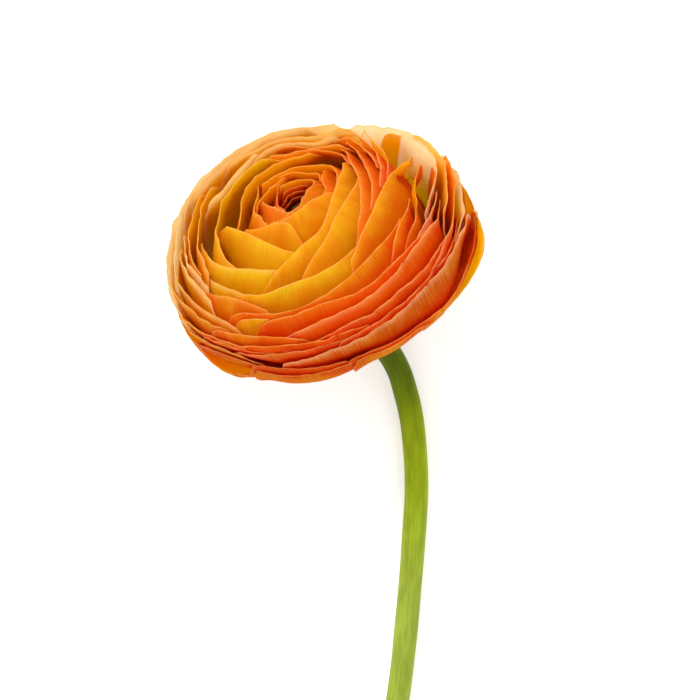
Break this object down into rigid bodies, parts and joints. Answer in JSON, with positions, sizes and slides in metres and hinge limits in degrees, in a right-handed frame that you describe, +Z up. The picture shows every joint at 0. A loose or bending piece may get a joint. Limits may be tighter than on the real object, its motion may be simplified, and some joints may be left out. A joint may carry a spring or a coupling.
{
  "type": "cut ranunculus flower",
  "caption": "Cut ranunculus flower lying on a surface: a full domed bloom of thin petals in close spiral layers, on a bare bowed stem.",
  "frame": {"origin": "middle of the flat spot under the bloom that the flower rests on", "axes": "+Z up from the surface it lies on; +Y from the stem's cut end towards the bloom; the bloom's face tips up and towards -X"},
  "size_m": [0.0818, 0.2201, 0.0674],
  "materials": {
    "petal": "soft satin",
    "heart": "matte",
    "stem": "satin",
    "sepal": "matte"
  },
  "bodies": {
    "root": {"bloom": "petal", "heart": "heart", "stem": "stem", "calyx": "sepal"}
  },
  "joints": []
}
